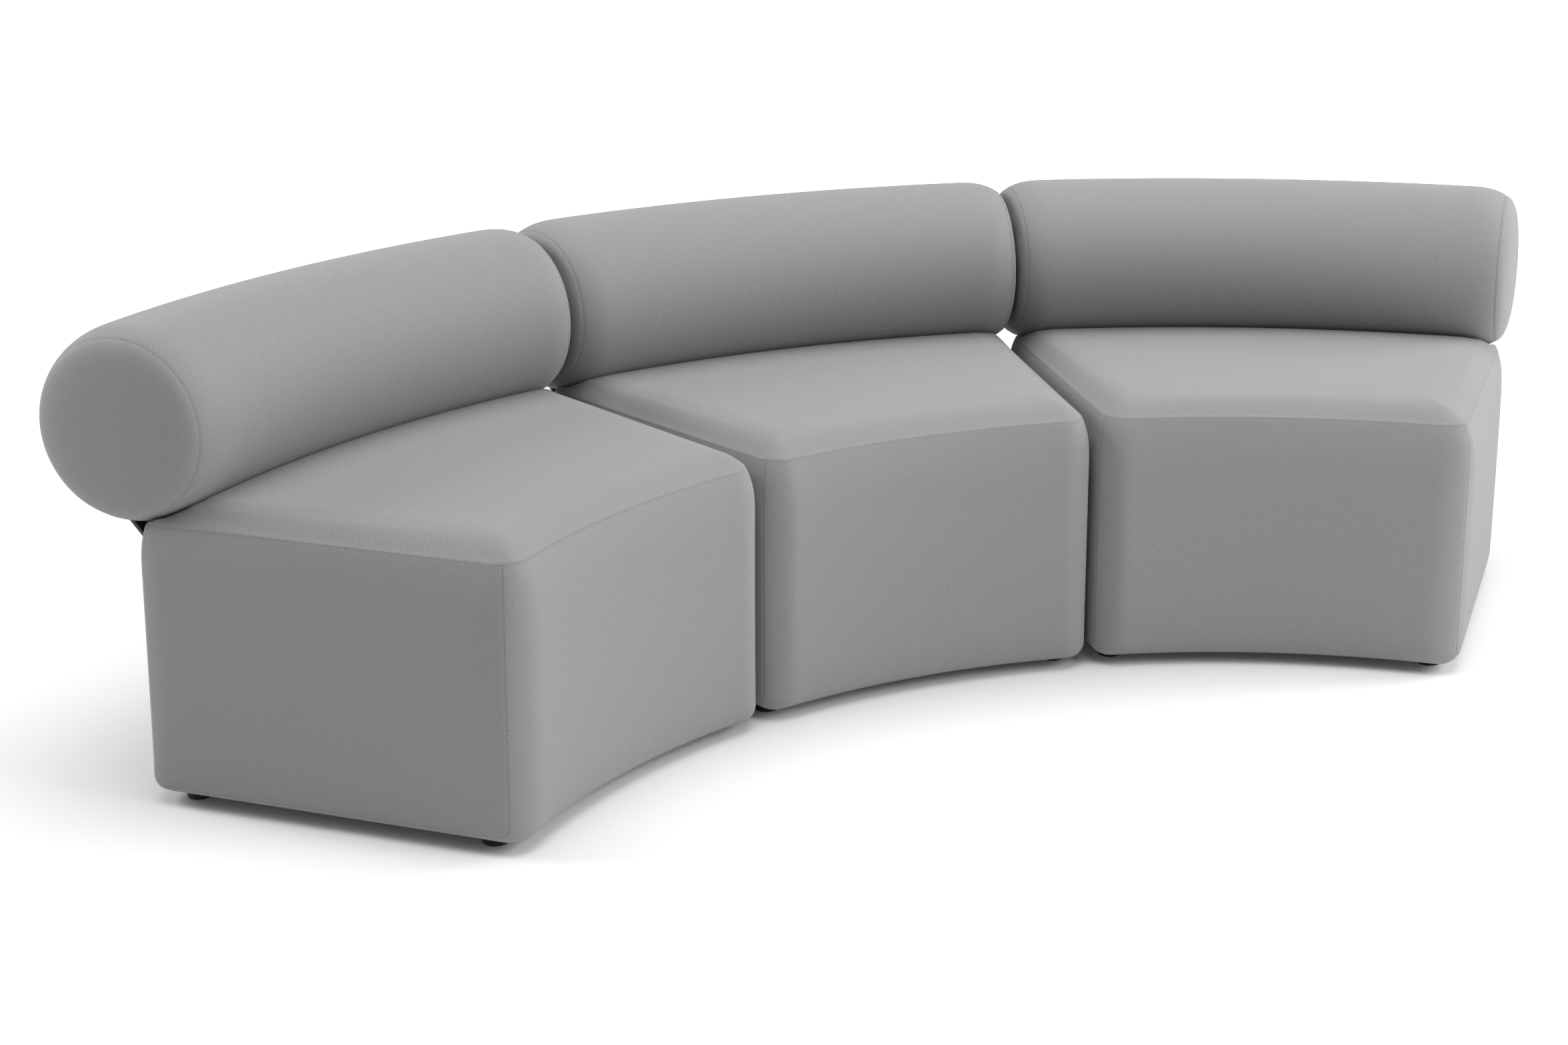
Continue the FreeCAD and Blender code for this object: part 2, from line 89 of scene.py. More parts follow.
def roughen_by(tree, shader, pattern, smooth, rough):
    """Vary a material's roughness by a pattern."""
    gloss = add(tree, "MapRange", {"Value": pattern, "To Min": smooth, "To Max": rough})
    tree.links.new(gloss.outputs["Result"], shader.inputs["Roughness"])


def emboss(tree, shader, pattern, strength, depth):
    """Raise a material's surface by a pattern, with the depth in metres."""
    ridge = add(tree, "Bump", {"Height": pattern, "Strength": strength, "Distance": depth})
    tree.links.new(ridge.outputs["Normal"], shader.inputs["Normal"])


def dress(pieces, material):
    """Give the frame's own solids a finish, in every module that has them."""
    for module in MODULES:
        for piece in pieces:
            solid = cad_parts.get(f"{module}_{piece}")
            if solid:
                solid.data.materials.clear()
                solid.data.materials.append(material)


# Rotary-cut birch veneer: pale and matt, with a wandering grain a few millimetres wide that runs along
# the sheet, so it is stretched most in one direction.
GRAIN = 0.006
GRAIN_STRETCH = (1 / GRAIN, 0.06 / GRAIN, 0.5 / GRAIN)
plywood, tree, shader = start_material("birch plywood", Roughness=0.62, IOR=1.5)
place = add(tree, "TexCoord").outputs["Object"]
stretch = add(tree, "Mapping", {"Vector": place, "Scale": GRAIN_STRETCH})
grain = noise(tree, stretch.outputs["Vector"], 1.0, 5.0, distortion=0.6)
colour_by(tree, shader, grain, "#b98d5a", "#e3c497")
emboss(tree, shader, grain, 0.15, 0.0004)
dress(BOARDS, plywood)

# Feet: low round glides, injection moulded in black plastic, one screw through each into the base.
# Moulded plastic is a soft black with a fine spark-eroded grain, and scuffed a little greyer.
GRIT, SCUFF = 0.0012, 1 / 60
plastic, tree, shader = start_material("black moulded plastic", IOR=1.46)
place = add(tree, "TexCoord").outputs["Object"]
grit = noise(tree, place, 1 / GRIT, 2.0)
scuff = noise(tree, place, 1 / SCUFF, 4.0)
colour_by(tree, shader, scuff, "#141414", "#2b2b2b")
roughen_by(tree, shader, scuff, 0.42, 0.62)
emboss(tree, shader, grit, 0.2, 0.0002)
dress(["feet"], plastic)

# Seat blocks: foam over the carcass in a tight sewn cover, with a top panel, a front that runs under
# the block, and two side panels. The panels meet in plain seams on the rounded edges, and the cover
# is drawn under the base and stapled. The bolster sinks into the block's back edge.
ARC_CENTRE = Vector((0, -1.35195, 0))
HALF_ANGLE = math.radians(15)
HALF_GAP = 0.00075
FRONT, BACK = 1.124, 1.732
LOW, HIGH = 0.015, 0.450
FRONT_CORNER, BACK_CORNER, BOTTOM_EDGE = 0.053, 0.039, 0.029
# The cover's hem under the base: its distance in from the edges, half its width, and the step up to the base
HEM, HEM_HALF, HEM_RISE = 0.0892, 0.001, 0.003
# The cover is drawn this much small and swells as it is filled, and then its seams sink by this much
SWELL, SEAM_DEPTH = 0.0015, 0.0009
# The upright panels start to lean in this far below the top, and their seam with the top panel lies here
SKIRT, SEAM_DOWN = 0.085, 0.0288
# Across the edge, as shares of the corner's radius in from the upright face: the seam and the flat top,
# and the seam at the back, where the bolster presses the edge in
SEAM_IN, FLAT_IN, BACK_SEAM_IN = 0.26, 1.28, 0.30
# The upright seam of a side panel, round the corner from the side
SEAM_TURN = math.radians(28)
# A corner's rings start on the side panel, this share of its radius past its centre line and this far
# below the skirt
FAN_TURN, FAN_DOWN = 0.28, 0.015
# The least share of the bottom edge's rounding that is left on a side panel
LEAST_EDGE = 0.12
# Rows up the lean to the seam, and from the seam over the rolled edge to the corner's centre
LEAN = [0, 0.36, 0.68, 0.94]
ROLL = [SEAM_IN, 0.29, 0.34, 0.41, 0.50, 0.61, 0.74, 0.87, 1.0]
SEAM = len(LEAN)
LAST = len(LEAN) + len(ROLL) - 1
# Cells along the rest of a section: the front, the flat top, the back, the bottom edges, and under the
# base outside and inside the hem
FRONT_CELLS, TOP_CELLS, BACK_CELLS = 13, 10, 12
EDGE_CELLS, HEM_CELLS, BASE_CELLS = 5, 3, 10
# Closer columns on the top: in from its front edge, and on both sides of the line where the bolster lies
TOP_STEPS = [0.008, 0.018, 0.030]
NEST_STEPS = [-0.030, -0.016, -0.006, 0, 0.008, 0.022]
TOP_COLUMNS = len(TOP_STEPS) - 1 + TOP_CELLS + len(NEST_STEPS)
# Rings on the side panel as shares of its size, rings in from the side in metres, and cells between those
PANEL_RINGS = [0.28, 0.52, 0.76]
INNER_RINGS = [0.062, 0.073, HEM - HEM_HALF, HEM + HEM_HALF, 0.110, 0.135]
SPAN_CELLS = 14
# The bolster that lies in the nest: a tube that narrows to its seams and a domed cap on each end
BOLSTER_ARC, BOLSTER_HEIGHT, BOLSTER_RADIUS = 1.745, 0.554, 0.1458
CAP_SEAM, TUBE_END, TUBE_POWER = 0.1325, 0.070, 2.5
# A cap's depth: its dome and its tighter rim, each with its power, and the rounding where it is pressed flat
DOME, DOME_POWER, RIM, RIM_POWER, PRESSED = 0.013, 3.6, 0.011, 16, 0.004
HALVINGS = 20
# How far the foam swells past the module's side where no neighbour presses on it: seats and bolster caps
SIDE_BULGE, CAP_BULGE = 0.0066, 0.0116
# The gap that keeps seat and bolster apart in the nest, a height that counts as level, and a share that
# is too small to divide by
NEST_GAP, LEVEL, TINY = 0.0006, 0.0001, 0.001
CONTACT = BOLSTER_ARC - math.sqrt(BOLSTER_RADIUS ** 2 - (BOLSTER_HEIGHT - HIGH) ** 2)
# What doesn't move while the cover is filled: its foot up to this height, and what lies this near the bolster
FOOT_HEIGHT, NEST_NEAR = 0.02, 0.004
FILL_FRAMES = 20


def evenly(start, end, cells):
    """Numbers in equal steps from start to just before end."""
    return [start + (end - start) * i / cells for i in range(cells)]


def roll_drop(inward):
    """How far the top panel's rolled edge lies below the flat top."""
    return SEAM_DOWN * max(0, (FLAT_IN - inward) / (FLAT_IN - SEAM_IN)) ** 2


def lean_in(down):
    """How far an upright panel leans in at a depth below the top, as a share of its lean at the seam."""
    return max(0, (SKIRT - down) / (SKIRT - SEAM_DOWN)) ** 2


def ring_turn(a):
    """How far round its corner ring a stands on the upright panels, from the side, 0, to a right angle."""
    if a < SEAM:
        return SEAM_TURN * LEAN[a]
    return math.pi / 2 - (math.pi / 2 - SEAM_TURN) * (1 - ROLL[a - SEAM]) / (1 - SEAM_IN)


def top_corner(a, b, size, seam_in):
    """A point of a top corner as (in from the side, in from the front or back, down), on ring a and row b."""
    beyond = 1 - ROLL[max(b - SEAM, 0)]
    if a < SEAM:
        turn = SEAM_TURN * LEAN[a] - FAN_TURN * (1 - LEAN[a])
        down = SEAM_DOWN + (SKIRT + FAN_DOWN - SEAM_DOWN) * (1 - LEAN[a])
        if b < SEAM:
            down += (SKIRT - SEAM_DOWN) * (1 - LEAN[b])
        turn -= SEAM_TURN * (1 - beyond / (1 - SEAM_IN))
        reach = 1 - seam_in * lean_in(down)
    elif b < SEAM:
        turn = ring_turn(a)
        down = SKIRT - (SKIRT - SEAM_DOWN) * LEAN[b]
        reach = 1 - seam_in * lean_in(down)
    else:
        beside = 1 - ROLL[a - SEAM]
        reach = max(beside, beyond)
        down = roll_drop(1 - reach)
        turn = SEAM_TURN * beyond / max(reach, TINY)
        if beyond > beside:
            turn = math.pi / 2 - (math.pi / 2 - SEAM_TURN) * beside / reach
        reach *= (1 - seam_in) / (1 - SEAM_IN)
    if turn < 0:
        return size * (1 - reach), size * (1 - turn), down
    return size * (1 - reach * math.cos(turn)), size * (1 - reach * math.sin(turn)), down


def bottom_edge(foot, toward, low, lower, under_off, steps):
    """Points round a bottom edge, from an upright panel's foot to the underside, at the steps' angles."""
    points = []
    for step in steps:
        radius = foot.x + toward * lower * (1 - math.cos(step))
        off = foot.z + (under_off - foot.z) * step / (math.pi / 2)
        points.append((radius, low + lower - lower * math.sin(step), off))
    return points


def block_section(a, inward=1):
    """The block's section on ring a as (radius, height, distance from the side), up from the front's foot."""
    turn = ring_turn(a)
    draw_in, stand_off = 1 - math.sin(turn), 1 - math.cos(turn)
    front, back = FRONT + SWELL, BACK - SWELL
    low, high = LOW + BOTTOM_EDGE * draw_in, HIGH - SWELL
    lower = BOTTOM_EDGE * max(math.sin(turn), LEAST_EDGE)
    under_off = BOTTOM_EDGE * stand_off
    ahead = [(front + y, high - down, x) for x, y, down in
             [top_corner(a, b, FRONT_CORNER, SEAM_IN) for b in range(LAST + 1)]]
    behind = [(back - y, high - down, x) for x, y, down in
              [top_corner(a, b, BACK_CORNER, BACK_SEAM_IN) for b in range(LAST, -1, -1)]]
    front_foot = Vector((front + FRONT_CORNER * draw_in, low + lower, FRONT_CORNER * stand_off))
    back_foot = Vector((back - BACK_CORNER * draw_in, low + lower, BACK_CORNER * stand_off))
    points = [front_foot.lerp(Vector(ahead[0]), k / FRONT_CELLS) for k in range(FRONT_CELLS)] + ahead
    flat, end = Vector(ahead[-1]), Vector(behind[0])
    tops = [flat.x + step for step in TOP_STEPS[:-1]]
    tops += evenly(flat.x + TOP_STEPS[-1], CONTACT + NEST_STEPS[0], TOP_CELLS)
    tops += [CONTACT + step for step in NEST_STEPS]
    for r in tops:
        spot = flat.lerp(end, (r - flat.x) / (end.x - flat.x))
        if a == LAST:
            spot.y = high - max(roll_drop(inward), roll_drop((r - front) / FRONT_CORNER))
        points.append(spot)
    points += behind
    points += [Vector(behind[-1]).lerp(back_foot, k / BACK_CELLS) for k in range(1, BACK_CELLS)]
    points += bottom_edge(back_foot, -1, low, lower, under_off, evenly(0, math.pi / 2, EDGE_CELLS))
    back_hem = [BACK - HEM + HEM_HALF, BACK - HEM - HEM_HALF]
    front_hem = [FRONT + HEM + HEM_HALF, FRONT + HEM - HEM_HALF]
    under = evenly(back_foot.x - lower, back_hem[0], HEM_CELLS) + back_hem
    under += evenly(back_hem[1], front_hem[0], BASE_CELLS)[1:] + front_hem
    under += evenly(front_hem[1], front_foot.x + lower, HEM_CELLS)[1:]
    points += [(r, low, under_off) for r in under]
    points += bottom_edge(front_foot, 1, low, lower, under_off, evenly(math.pi / 2, 0, EDGE_CELLS))
    return [tuple(p) for p in points]


def cap_face(radius, free):
    """How far in from the module's side a bolster's cap lies: domed if it is free, or pressed flat."""
    share = radius / CAP_SEAM
    depth = DOME * share ** DOME_POWER + RIM * share ** RIM_POWER - CAP_BULGE
    return depth if free else (depth + math.hypot(depth, PRESSED)) / 2


def bolster_reach(inward):
    """The bolster's radius at a distance in from the module's side."""
    seam = cap_face(CAP_SEAM, False)
    if inward >= seam:
        share = max(0, TUBE_END - inward) / (TUBE_END - seam)
        return BOLSTER_RADIUS - (BOLSTER_RADIUS - CAP_SEAM) * share ** TUBE_POWER
    low, high = 0, CAP_SEAM
    for _ in range(HALVINGS):
        middle = (low + high) / 2
        if cap_face(middle, False) < inward:
            low = middle
        else:
            high = middle
    return low


def out_of_nest(radius, height, inward):
    """Move a point of the block that lies in the bolster out to the bolster's skin."""
    away = Vector((radius - BOLSTER_ARC, height - BOLSTER_HEIGHT))
    reach = bolster_reach(inward - HALF_GAP) + NEST_GAP
    if away.length < reach:
        away *= reach / away.length
    return BOLSTER_ARC + away.x, BOLSTER_HEIGHT + away.y, inward


def on_arc(radius, angle, height):
    """A point given round the sofa's arc, measured from the middle of the centre module."""
    return ARC_CENTRE + Vector((radius * math.sin(angle), radius * math.cos(angle), height))


def inner_ring(inward):
    """A ring at a distance in from the side, stepped up to the base inside the hem."""
    ring = []
    for r, z, _ in block_section(LAST, inward / FRONT_CORNER):
        if inward > HEM and z < LOW + LEVEL and FRONT + HEM < r < BACK - HEM:
            z += HEM_RISE
        ring.append(out_of_nest(r, z, inward))
    return ring


def block_rings(free_left, free_right):
    """Rings of points from the block's left side panel to its right one; a free side swells."""
    middle = (FRONT + BACK) / 2, (LOW + HIGH) / 2
    side = block_section(0)
    half = [[(middle[0] + size * (r - middle[0]), middle[1] + size * (z - middle[1]), HALF_GAP + SWELL)
             for r, z, _ in side] for size in PANEL_RINGS]
    for a in range(LAST + 1):
        half.append([out_of_nest(r, z, HALF_GAP + SWELL + off) for r, z, off in block_section(a)])
    half += [inner_ring(inward) for inward in INNER_RINGS]
    sides = []
    for free in (free_left, free_right):
        bulge = SIDE_BULGE * free
        sides.append([[(r, z, math.asin((d - bulge * max(0, 1 - d / HEM)) / r) - HALF_ANGLE)
                       for r, z, d in ring] for ring in half])
    left = [[on_arc(r, angle, z) for r, z, angle in ring] for ring in sides[0]]
    right = [[on_arc(r, -angle, z) for r, z, angle in ring] for ring in reversed(sides[1])]
    between = [[on_arc(r, -share * angle, z) for r, z, angle in sides[0][-1]]
               for share in evenly(-1, 1, SPAN_CELLS)[1:]]
    return left + between + right


def new_piece(name, points, faces):
    """A mesh piece of points and faces, selected and active."""
    mesh = bpy.data.meshes.new(name)
    mesh.from_pydata(points, [], faces)
    piece = bpy.data.objects.new(name, mesh)
    bpy.context.scene.collection.objects.link(piece)
    bpy.ops.object.select_all(action="DESELECT")
    piece.select_set(True)
    bpy.context.view_layer.objects.active = piece
    return piece


def face_outward():
    """Turn all faces of the active piece outward."""
    bpy.ops.object.mode_set(mode="EDIT")
    bpy.ops.mesh.select_all(action="SELECT")
    bpy.ops.mesh.normals_make_consistent(inside=False)
    bpy.ops.object.mode_set(mode="OBJECT")


def skin(name, rings, panel):
    """Join rings of points into a closed cover; panel gives a point's place on the cloth, in metres."""
    around = len(rings[0])
    last = (len(rings) - 1) * around
    ends = [sum(ring, Vector()) / around for ring in (rings[0], rings[-1])]
    points = [p for ring in rings for p in ring] + ends
    keys = [(i, j) for i in range(len(rings)) for j in range(around)] + [(0, -1), (len(rings) - 1, -1)]
    faces = []
    for i in range(len(rings) - 1):
        for j in range(around):
            k = (j + 1) % around
            faces.append((i * around + j, i * around + k, (i + 1) * around + k, (i + 1) * around + j))
    for j in range(around):
        k = (j + 1) % around
        faces.append((k, j, len(points) - 2))
        faces.append((last + j, last + k, len(points) - 1))
    piece = new_piece(name, points, faces)
    mesh = piece.data
    cloth = mesh.uv_layers.new(name="cloth")
    for face in mesh.polygons:
        row = min(keys[v][0] for v in face.vertices)
        columns = [keys[v][1] for v in face.vertices if keys[v][1] >= 0]
        wraps = max(columns) - min(columns) > 1
        column = max(columns) if wraps else min(columns)
        for corner in face.loop_indices:
            vertex = mesh.loops[corner].vertex_index
            step = around if wraps and keys[vertex][1] == 0 else 0
            cloth.data[corner].uv = panel(row, column, mesh.vertices[vertex].co, keys[vertex][1] + step)
    face_outward()
    return piece


def plump(piece, held, seams):
    """Fill the cover as foam does: cloth under pressure, held at the seams, then sink the seams."""
    group = piece.vertex_groups.new(name="held")
    group.add(held, 1.0, "REPLACE")
    before = [v.co.copy() for v in piece.data.vertices]
    cloth = piece.modifiers.new("Cloth", "CLOTH").settings
    cloth.vertex_group_mass = "held"
    cloth.quality = 6
    cloth.mass = 0.4
    cloth.tension_stiffness = cloth.compression_stiffness = 40
    cloth.bending_stiffness = 2
    cloth.use_pressure = True
    cloth.uniform_pressure_force = 4
    cloth.effector_weights.gravity = 0
    for number in range(1, FILL_FRAMES + 1):
        bpy.context.scene.frame_set(number)
    bpy.ops.object.modifier_apply(modifier="Cloth")
    bpy.context.scene.frame_set(1)
    for vertex, start in zip(piece.data.vertices, before):
        moved = vertex.co - start
        if moved.length > SWELL:
            vertex.co = start + moved * (SWELL / moved.length)
    piece.vertex_groups.clear()
    # The sunk seam's points are marked, and the fabric darkens its colour there as painted shade for the
    # groove's shadow
    mark = piece.data.attributes.new("seam", "FLOAT", "POINT")
    inward = {v: piece.data.vertices[v].normal.copy() for v in seams}
    for v, normal in inward.items():
        piece.data.vertices[v].co -= normal * SEAM_DEPTH
        mark.data[v].value = 1.0
    crease = piece.data.attributes.new("crease_edge", "FLOAT", "EDGE")
    for edge in piece.data.edges:
        crease.data[edge.index].value = float(all(v in inward for v in edge.vertices))
    smooth = piece.modifiers.new("Smooth", "SUBSURF")
    smooth.levels = smooth.render_levels = 2
    bpy.ops.object.modifier_apply(modifier="Smooth")
    bpy.ops.object.shade_smooth()


# The rings and columns where the panels meet, and the section's lengths of cloth from its first point on
rings = block_rings(False, False)
around = len(rings[0])
left_seam = len(PANEL_RINGS) + SEAM
right_seam = len(rings) - 1 - left_seam
front_line = FRONT_CELLS + SEAM
back_line = FRONT_CELLS + LAST + 1 + TOP_COLUMNS + LAST - SEAM
section = rings[len(rings) // 2]
lengths = [0]
for j in range(1, around + 1):
    lengths.append(lengths[-1] + (section[j % around] - section[j - 1]).length)


def seat_panel(row, column, point, step):
    """Where a point of the seat's cover lies on its own flat panel."""
    spot = point - ARC_CENTRE
    radius, angle = math.hypot(spot.x, spot.y), math.atan2(spot.x, spot.y)
    if row < left_seam or row >= right_seam:
        return radius, spot.z
    if front_line <= column < back_line:
        return spot.x, spot.y
    return angle * (FRONT if column < front_line else BACK), lengths[step]


between_seams = range(left_seam + 1, right_seam)
seams = [i * around + j for i in (left_seam, right_seam) for j in range(around)]
seams += [i * around + j for i in between_seams for j in (front_line, back_line)]
beside = [(ring + d) * around + j for ring in (left_seam, right_seam) for d in (-1, 1) for j in range(around)]
beside += [i * around + front_line + d for i in between_seams for d in (-1, 1)]
seats = {}
for module in MODULES:
    seat = skin(f"{module}_seat", block_rings(module == "left", module == "right"), seat_panel)
    resting = [v.index for v in seat.data.vertices if v.co.z < LOW + FOOT_HEIGHT]
    for v in seat.data.vertices:
        spot = v.co - ARC_CENTRE
        if math.hypot(spot.xy.length - BOLSTER_ARC, spot.z - BOLSTER_HEIGHT) < BOLSTER_RADIUS + NEST_NEAR:
            resting.append(v.index)
    plump(seat, seams + beside + resting, seams)
    seats[module] = seat

# Upholstery fabric: a flat grey polyester twill. The eye sees matt cloth with a soft bloom at
# grazing angles, fine diagonal ribs with threads across them, and a mixed yarn of two close greys.
# The ribs are really a little over 2 mm apart, and are drawn wider so that they show in the render.
RIB = 0.0030
# A diagonal wave texture's scale for a spacing of one metre
WAVE = 2 * math.pi / 10 / math.sqrt(2)
THREAD_SHARE, YARN_SHARE = 0.55, 0.9
# How dark the cloth's colour is painted along the seams: painted shade for the shadow in the sunk seam's
# groove
SEAM_PAINTED_SHADE = 0.86
fabric, tree, shader = start_material("grey polyester twill", Roughness=0.92, IOR=1.45, Sheen_Weight=0.12,
                                      Sheen_Roughness=0.45, Specular_IOR_Level=0.25)
place = add(tree, "UVMap", uv_map="cloth").outputs["UV"]
mirror = add(tree, "Mapping", {"Vector": place, "Scale": (-1, 1, 1)}).outputs["Vector"]
ribs, threads = [
    add(tree, "TexWave", {"Vector": vector, "Scale": WAVE / RIB, "Distortion": 0.6, "Detail": 1.0,
                          "Detail Scale": 0.6}, bands_direction="DIAGONAL").outputs["Fac"]
    for vector in (place, mirror)]
weave = add(tree, "Math", {0: threads, 1: THREAD_SHARE, 2: ribs}, operation="MULTIPLY_ADD").outputs["Value"]
yarn = add(tree, "TexNoise", {"Vector": place, "Scale": 0.8 / RIB, "Detail": 3.0,
                              "Roughness": 0.6}).outputs["Fac"]
mixed = add(tree, "Math", {0: yarn, 1: YARN_SHARE, 2: weave}, operation="MULTIPLY_ADD").outputs["Value"]
tone = add(tree, "MapRange", {"Value": mixed, "From Min": 0.4, "From Max": 2.0})
greys = add(tree, "ValToRGB", {"Fac": tone.outputs["Result"]})
greys.color_ramp.elements[0].color = linear("#838383")
greys.color_ramp.elements[1].color = linear("#a1a1a1")
# Painted shade: the colour is darkened on the marked seam points, where the sunk groove's shadow falls
sewn = add(tree, "Attribute", attribute_name="seam").outputs["Fac"]
seam_painted_shade = add(tree, "MapRange", {"Value": sewn, "To Min": 1.0, "To Max": SEAM_PAINTED_SHADE}).outputs["Result"]
colour = add(tree, "VectorMath", {0: greys.outputs["Color"], "Scale": seam_painted_shade}, operation="SCALE")
tree.links.new(colour.outputs["Vector"], shader.inputs["Base Color"])
emboss(tree, shader, mixed, 0.25, 0.0005)


def turn_to(piece, module):
    """Turn a piece that is made at the centre module to its own module's place on the arc."""
    spin = Matrix.Rotation(math.radians(MODULES[module]), 4, "Z")
    piece.data.transform(Matrix.Translation(ARC_CENTRE) @ spin @ Matrix.Translation(-ARC_CENTRE))


def upholster(pieces, nodes):
    """Cover the modules' pieces in the fabric, put each in its place on the arc, and let it ride there."""
    for module, piece in pieces.items():
        piece.data.materials.append(fabric)
        turn_to(piece, module)
        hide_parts(*[f"{module}_{node}" for node in nodes])
        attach(piece, f"{module}_module")


upholster(seats, ["seat_cover", "seat_top_foam", "seat_wrap_foam"])

# Bolster straps: flat steel bar, bent twice and drilled, screwed to the block's back board and to
# the bolster's bent board. They and the link plates under the seats have a black powder coat, which
# is a low-gloss film with a fine orange-peel texture.
PEEL, DUST = 0.0018, 0.040
coat, tree, shader = start_material("black powder coat", Roughness=0.5, IOR=1.5)
place = add(tree, "TexCoord").outputs["Object"]
colour_by(tree, shader, noise(tree, place, 1 / DUST, 5.0), "#1c1c1c", "#353535")
emboss(tree, shader, noise(tree, place, 1 / PEEL, 1.5), 0.25, 0.0003)
dress(["back_brackets", "link_tongues", "link_sockets"], coat)

# Screws: pan-head wood screws, bright zinc plated, driven through the straps, feet and link plates.
# Zinc plate is a bluish silver metal with a fine cloudy crystal pattern.
CRYSTAL = 1 / 900
zinc, tree, shader = start_material("zinc plated steel", Metallic=1.0)
cloud = noise(tree, add(tree, "TexCoord").outputs["Object"], 1 / CRYSTAL, 3.0)
colour_by(tree, shader, cloud, "#a9acb0", "#d3d6d9")
roughen_by(tree, shader, cloud, 0.28, 0.45)
dress(["bracket_screws", "base_screws"], zinc)

# Bolsters: a foam roll round the bent board, in a sewn tube of the same fabric, with a round domed
# cap sewn on each end. The tube narrows a little to the cap's seam, and the roll sinks into the seat.
CAP_STEPS = [0.28, 0.5, 0.68, 0.82, 0.91, 0.96, 0.988, 1.0]
TUBE_STEPS = [0.0159, 0.021, 0.029, 0.040, 0.054, TUBE_END]
ROLL_POINTS, ROLL_CELLS = 60, 30


def roll_rings(free_left, free_right):
    """Rings of points from the bolster's left cap to its right one."""
    ends = []
    for free in (free_left, free_right):
        end = [(share * CAP_SEAM, cap_face(share * CAP_SEAM, free)) for share in CAP_STEPS]
        end += [(bolster_reach(inward), inward) for inward in TUBE_STEPS]
        ends.append([(radius - SWELL, (inward + HALF_GAP + SWELL) / BOLSTER_ARC - HALF_ANGLE)
                     for radius, inward in end])
    full, start = ends[0][-1]
    stations = ends[0] + [(full, start * share) for share in evenly(1, -1, ROLL_CELLS)[1:]]
    stations += [(radius, -angle) for radius, angle in reversed(ends[1])]
    turns = evenly(0, 2 * math.pi, ROLL_POINTS)
    return [[on_arc(BOLSTER_ARC + radius * math.cos(a), angle, BOLSTER_HEIGHT + radius * math.sin(a))
             for a in turns] for radius, angle in stations]


left_cap = len(CAP_STEPS) - 1
right_cap = len(roll_rings(False, False)) - 1 - left_cap


def roll_panel(row, column, point, step):
    """Where a point of the bolster's cover lies on its own flat panel."""
    spot = point - ARC_CENTRE
    if row < left_cap or row >= right_cap:
        return math.hypot(spot.x, spot.y), spot.z
    return math.atan2(spot.x, spot.y) * BOLSTER_ARC, step * 2 * math.pi * BOLSTER_RADIUS / ROLL_POINTS


seams = [ring * ROLL_POINTS + j for ring in (left_cap, right_cap) for j in range(ROLL_POINTS)]
beside = [(ring + d) * ROLL_POINTS + j for ring in (left_cap, right_cap) for d in (-1, 1)
          for j in range(ROLL_POINTS)]
bolsters = {}
for module in MODULES:
    bolster = skin(f"{module}_bolster", roll_rings(module == "left", module == "right"), roll_panel)
    plump(bolster, seams + beside, seams)
    bolsters[module] = bolster
upholster(bolsters, ["bolster_cover", "bolster_end_caps", "bolster_foam"])

# Dust covers: thin black non-woven cloth stretched over the underside of each base, inside the hem, and
# stapled along its edge. The staples draw small ripples into it, which die out towards the middle.
# The cloth is a felted sheet of fused fibres, matt, with a faint blotchy thickness.
FIBRE = 0.0015
felt, tree, shader = start_material("black non-woven cloth", Roughness=0.95, IOR=1.45, Sheen_Weight=0.08)
fibre = noise(tree, add(tree, "TexCoord").outputs["Object"], 1 / FIBRE, 6.0, distortion=1.5)
colour_by(tree, shader, fibre, "#121212", "#303030")
emboss(tree, shader, fibre, 0.4, 0.0003)
# The sheet lies inside the hem by a hair
HEM_GAP = 0.0006
SHEET_FRONT, SHEET_BACK = FRONT + HEM + HEM_GAP, BACK - HEM - HEM_GAP
SHEET_SIDE = HALF_GAP + HEM + HEM_GAP
SHEET_HEIGHT, SHEET_THICKNESS = 0.0157, 0.0006
STAPLE_PITCH, RIPPLE, RIPPLE_REACH = 0.048, 0.0003, 0.030
ROWS, COLUMNS = 54, 72


def sheet_reach(radius):
    """The angle from the sheet's middle line to its side, at a radius."""
    return HALF_ANGLE - math.asin(SHEET_SIDE / radius)


def dust_sheet(name):
    """A sheet of the centre module's base shape, rippled between the staples along its edge."""
    points = []
    for i in range(ROWS + 1):
        radius = SHEET_FRONT + (SHEET_BACK - SHEET_FRONT) * i / ROWS
        reach = sheet_reach(radius)
        for j in range(COLUMNS + 1):
            angle = reach * (2 * j / COLUMNS - 1)
            from_end = min(radius - SHEET_FRONT, SHEET_BACK - radius)
            from_side = radius * (reach - abs(angle))
            along = radius * angle if from_end < from_side else radius - SHEET_FRONT
            fade = math.exp(-min(from_end, from_side) / RIPPLE_REACH)
            ripple = RIPPLE * fade * math.cos(2 * math.pi * along / STAPLE_PITCH)
            points.append(on_arc(radius, angle, SHEET_HEIGHT - RIPPLE + ripple))
    faces = []
    for i in range(ROWS):
        for j in range(COLUMNS):
            corner = i * (COLUMNS + 1) + j
            faces.append((corner, corner + 1, corner + COLUMNS + 2, corner + COLUMNS + 1))
    return new_piece(name, points, faces)


for module in MODULES:
    sheet = dust_sheet(f"{module}_dust_sheet")
    wall = sheet.modifiers.new("Thickness", "SOLIDIFY")
    wall.thickness = SHEET_THICKNESS
    wall.offset = 0
    bpy.ops.object.modifier_apply(modifier="Thickness")
    face_outward()
    bpy.ops.object.shade_smooth_by_angle()
    sheet.data.materials.append(felt)
    turn_to(sheet, module)
    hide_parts(f"{module}_dust_cover")
    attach(sheet, f"{module}_module")

# Studio: a white seamless floor under even white light, with four large soft lights: one overhead, one
# at the front right, one at the right and one at the back left. Away from the sofa the floor shows the
# camera a plain white, as seamless paper does, and near it keeps the sofa's soft shadow.
NEAR, FAR = 2.3, 4.2
NEAR_GLOW, ROOM_LIGHT = 0.02, 0.16


